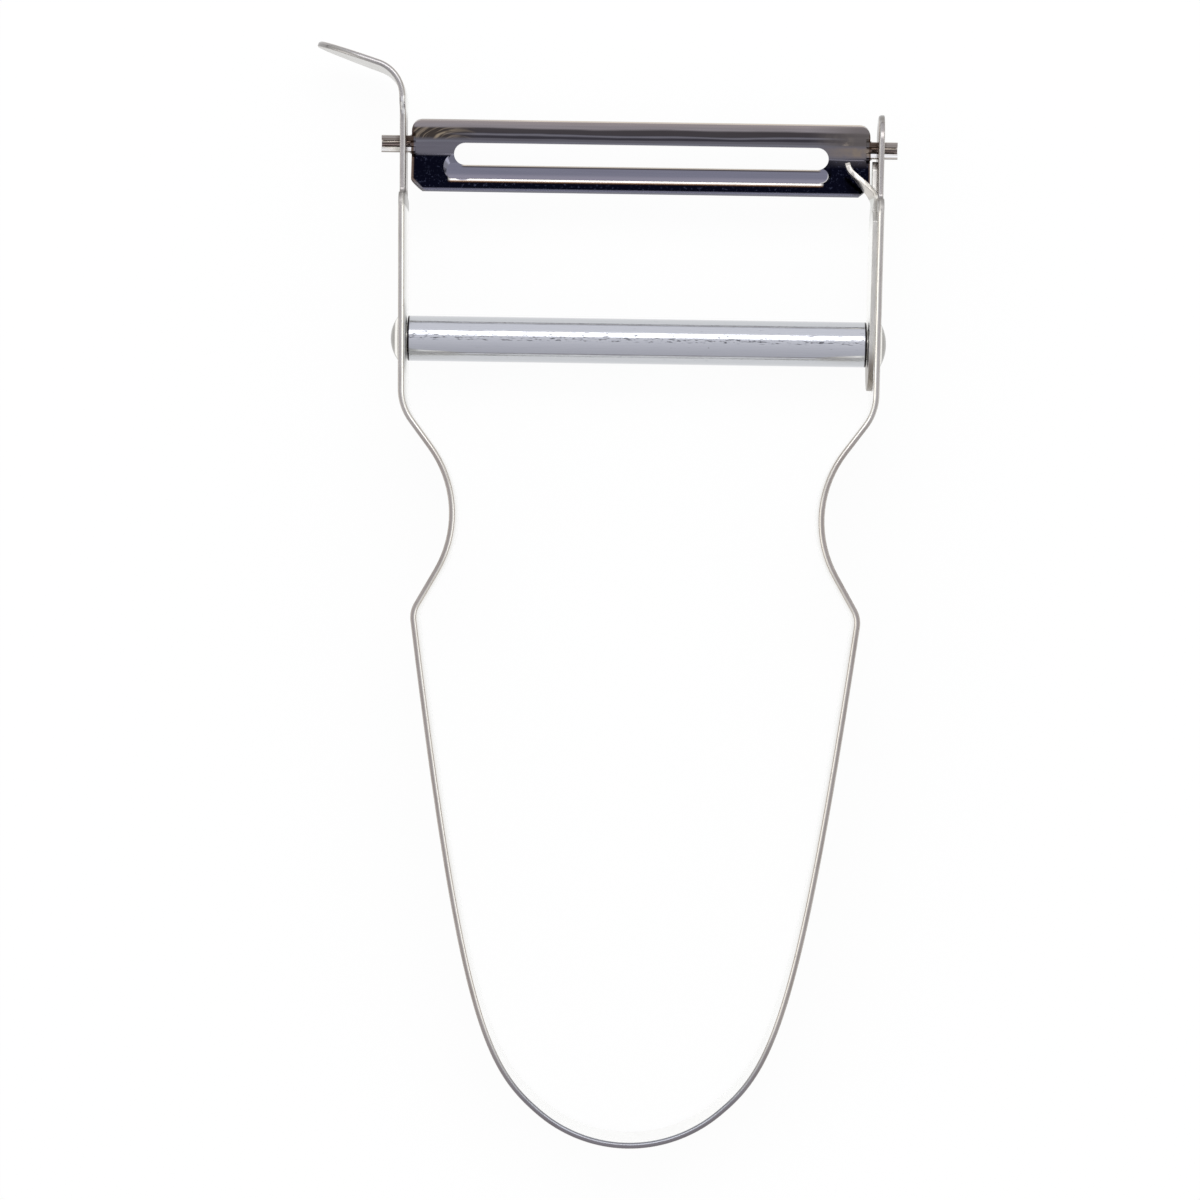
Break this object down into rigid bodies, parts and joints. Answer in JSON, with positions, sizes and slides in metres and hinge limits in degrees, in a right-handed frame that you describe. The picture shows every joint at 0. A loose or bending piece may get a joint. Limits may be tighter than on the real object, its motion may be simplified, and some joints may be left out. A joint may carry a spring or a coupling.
{
  "type": "y peeler",
  "caption": "Y-shaped vegetable peeler: a bent steel strap handle with a swivelling slotted blade, a spacer crossbar, a blade stop and an eye remover.",
  "frame": {"origin": "on the strap's rear edge at the heel of the handle, in the middle of the strap's thickness", "axes": "+X along the blade, towards the stop leaf; +Y from the heel of the handle towards the blade; +Z out of the front face, up when the peeler lies on its back"},
  "size_m": [0.0604, 0.1141, 0.012],
  "materials": {
    "strap_steel": "bright rolled strip with rounded edges",
    "tube_steel": "polished tube with fine lengthwise scratches",
    "rivet_steel": "satin",
    "leaf_steel": "bright spring strip",
    "blade_steel": "mirror polished, dark"
  },
  "bodies": {
    "handle": {"handle_strap": "strap_steel", "spacer_tube": "tube_steel", "through_rivet": "rivet_steel", "stop_leaf": "leaf_steel"},
    "blade": {"blade": "blade_steel"}
  },
  "joints": [
    {"name": "blade_swivel", "type": "hinge", "parent": "handle", "child": "blade", "pos_m": [0, 0.10325, 0.006], "axis": [1, 0, 0], "range_deg": [-5, 100]}
  ]
}
